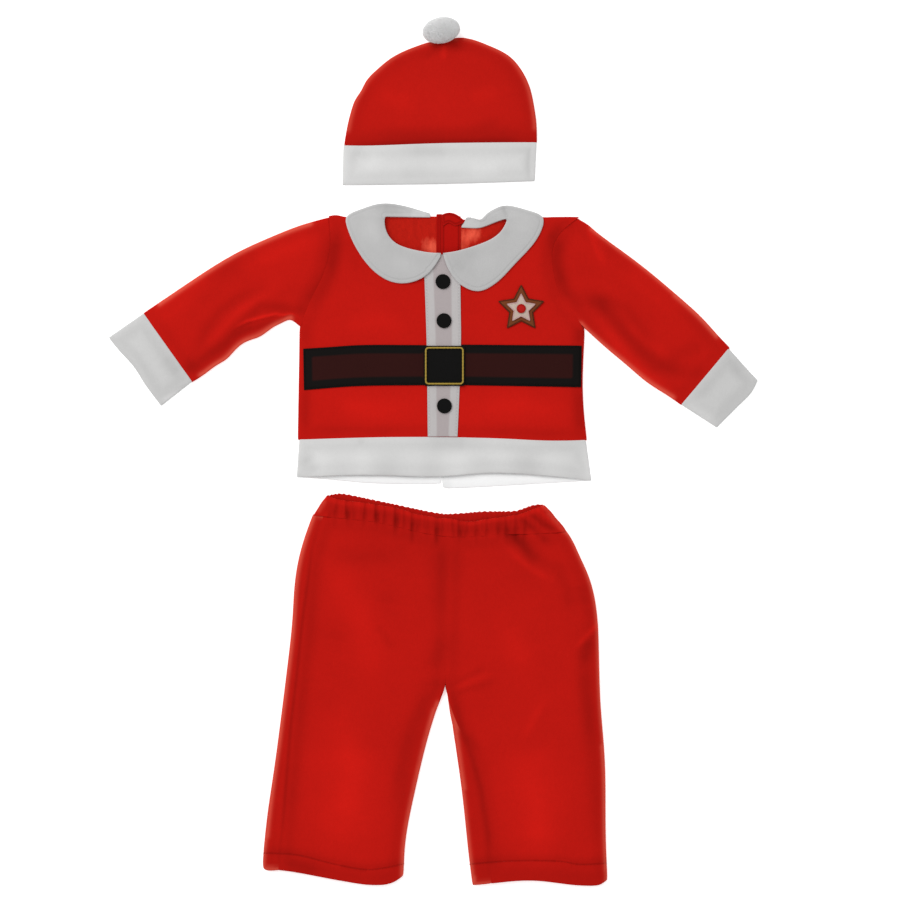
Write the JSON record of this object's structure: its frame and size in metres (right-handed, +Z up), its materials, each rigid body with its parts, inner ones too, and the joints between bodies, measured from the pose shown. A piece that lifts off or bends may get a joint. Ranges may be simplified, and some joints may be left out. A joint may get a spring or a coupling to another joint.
{
  "type": "winter costume top, trousers and hat, laid flat",
  "caption": "Red and white baby costume laid flat: domed hat with pompom, back-opening top with round collar and mock belt, and elasticated trousers.",
  "frame": {"origin": "on the surface the set lies on, under the middle of its bounding box", "axes": "+X to the wearer's left as the front is seen, +Y from the trouser hems towards the hat, +Z up from the surface, out of the front of the garments"},
  "size_m": [0.648, 0.8662, 0.0211],
  "materials": {
    "red_fleece": "matte brushed fleece",
    "white_fleece": "matte brushed fleece",
    "white_plush": "long soft pile",
    "white_strip": "thin woven strip with turned edges",
    "black_strip": "thin woven strip with turned edges",
    "black_felt": "matte felt",
    "gold_cord": "twisted cord with a metallic thread",
    "brown_felt": "matte felt",
    "cream_felt": "matte felt",
    "red_felt": "matte felt"
  },
  "bodies": {
    "root": {"hat_crown_front": "red_fleece", "hat_crown_back": "red_fleece", "hat_band": "white_fleece", "hat_pompom": "white_plush", "top_front": "red_fleece", "top_back_left": "red_fleece", "top_back_right": "red_fleece", "back_placket_left": "red_fleece", "back_placket_right": "red_fleece", "back_tab": "red_fleece", "sleeve_left": "red_fleece", "sleeve_right": "red_fleece", "cuff_left": "white_fleece", "cuff_right": "white_fleece", "hem_front": "white_fleece", "hem_back_left": "white_fleece", "hem_back_right": "white_fleece", "collar_left": "white_fleece", "collar_right": "white_fleece", "placket": "white_strip", "belt_left": "black_strip", "belt_right": "black_strip", "buckle_plate": "black_felt", "buckle_cord": "gold_cord", "button_top": "black_felt", "button_middle": "black_felt", "button_lower": "black_felt", "patch_star": "brown_felt", "patch_inset": "cream_felt", "patch_dot": "red_felt", "waistband": "red_fleece", "leg_front_left": "red_fleece", "leg_front_right": "red_fleece", "leg_back_left": "red_fleece", "leg_back_right": "red_fleece"}
  },
  "joints": []
}
